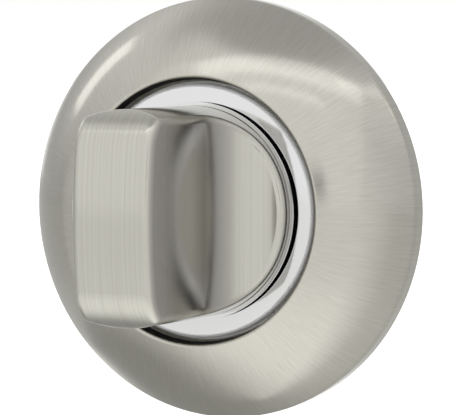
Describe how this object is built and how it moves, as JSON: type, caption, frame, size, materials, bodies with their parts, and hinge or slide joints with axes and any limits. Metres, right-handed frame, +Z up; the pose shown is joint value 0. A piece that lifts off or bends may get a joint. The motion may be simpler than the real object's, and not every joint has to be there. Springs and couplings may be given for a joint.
{
  "type": "bathroom thumb turn lock",
  "caption": "Inside half of a bathroom lock: a domed round rose, a polished ring and a scooped thumb turn on a square spindle.",
  "frame": {"origin": "on the spindle's axis, in the plane of the rose's back face, which lies on the door", "axes": "+Y along the spindle into the door, +Z up, -Y towards the user; the knob's bar is upright at rest"},
  "size_m": [0.05, 0.0753, 0.05],
  "materials": {
    "satin_nickel": "satin",
    "polished_chrome": "polished",
    "zinc_casting": "cast",
    "nylon": "matte",
    "spring_steel": "satin",
    "plated_steel": "satin"
  },
  "bodies": {
    "fixed": {"rose_cover": "satin_nickel", "trim_ring": "polished_chrome", "base_plate": "zinc_casting", "cover_clip": "spring_steel", "hub_bush": "nylon", "thrust_washer": "nylon", "spring_washer": "spring_steel", "fixing_bolts": "plated_steel"},
    "turning": {"turn_knob": "satin_nickel", "foot_washer": "polished_chrome", "stop_disc": "plated_steel", "retaining_ring": "spring_steel", "spindle": "plated_steel", "spindle_pin": "plated_steel"}
  },
  "joints": [
    {"name": "turn", "type": "hinge", "parent": "fixed", "child": "turning", "pos_m": [0, 0, 0], "axis": [0, 1, 0], "range_deg": [0, 90]}
  ]
}
